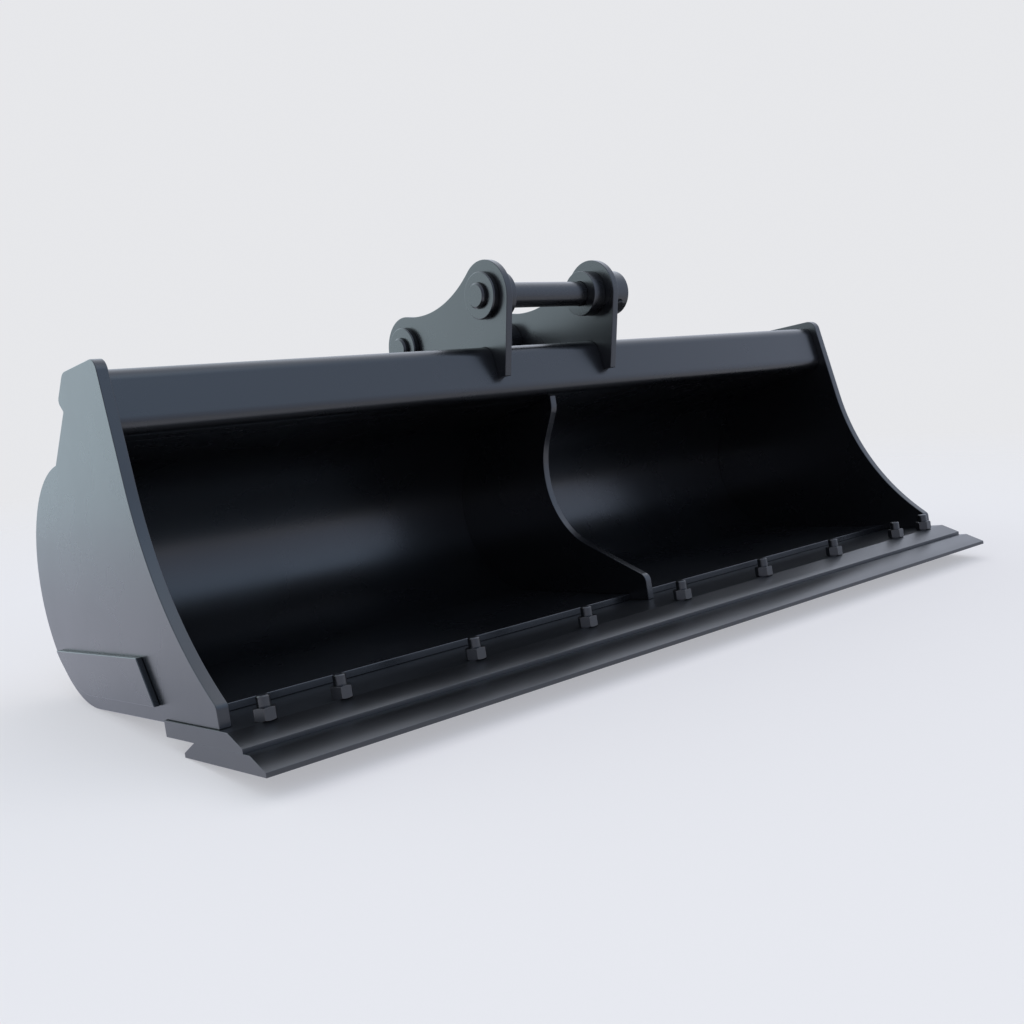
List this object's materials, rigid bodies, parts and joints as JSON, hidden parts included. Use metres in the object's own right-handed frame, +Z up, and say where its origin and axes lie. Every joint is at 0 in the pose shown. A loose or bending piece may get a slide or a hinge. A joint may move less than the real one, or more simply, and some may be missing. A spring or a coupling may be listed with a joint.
{
  "type": "excavator grading bucket",
  "caption": "Wide ditching and grading bucket with a divider, bolt-on cutting edge and two hanger ears with floating pins.",
  "frame": {"origin": "centre of the footprint on the ground, with the bucket standing on the rear corner of its bolt-on edge and the rounds of its two side plates", "axes": "+X along the width to the side of the lock collars, +Y backwards from the cutting edge, +Z up"},
  "size_m": [1.51, 0.6598, 0.5835],
  "materials": {
    "plate_paint": "satin black paint",
    "edge_paint": "satin black paint",
    "bolt_finish": "satin black paint over steel",
    "pin_paint": "satin black paint"
  },
  "bodies": {
    "bucket": {"bolt_on_edge": "edge_paint", "lip_plate": "edge_paint", "edge_bolts": "bolt_finish", "edge_nuts": "bolt_finish", "shell_plate": "plate_paint", "top_beam": "plate_paint", "divider_plate": "plate_paint", "left_side_plate": "plate_paint", "right_side_plate": "plate_paint", "left_heel_plate": "plate_paint", "right_heel_plate": "plate_paint", "left_ear": "plate_paint", "right_ear": "plate_paint", "front_left_boss": "plate_paint", "front_right_boss": "plate_paint", "rear_left_boss": "plate_paint", "rear_right_boss": "plate_paint"},
    "front_pin_set": {"front_pin": "pin_paint", "front_head_ring": "pin_paint", "front_lock_collar": "pin_paint", "front_lock_bolt": "bolt_finish", "front_lock_nut": "bolt_finish"},
    "rear_pin_set": {"rear_pin": "pin_paint", "rear_head_ring": "pin_paint", "rear_lock_collar": "pin_paint", "rear_lock_bolt": "bolt_finish", "rear_lock_nut": "bolt_finish"}
  },
  "joints": [
    {"name": "front_pin_turn", "type": "hinge", "parent": "bucket", "child": "front_pin_set", "pos_m": [0, 0.03264, 0.5285], "axis": [1, 0, 0], "continuous": true},
    {"name": "rear_pin_turn", "type": "hinge", "parent": "bucket", "child": "rear_pin_set", "pos_m": [0, 0.25021, 0.45591], "axis": [1, 0, 0], "continuous": true}
  ]
}
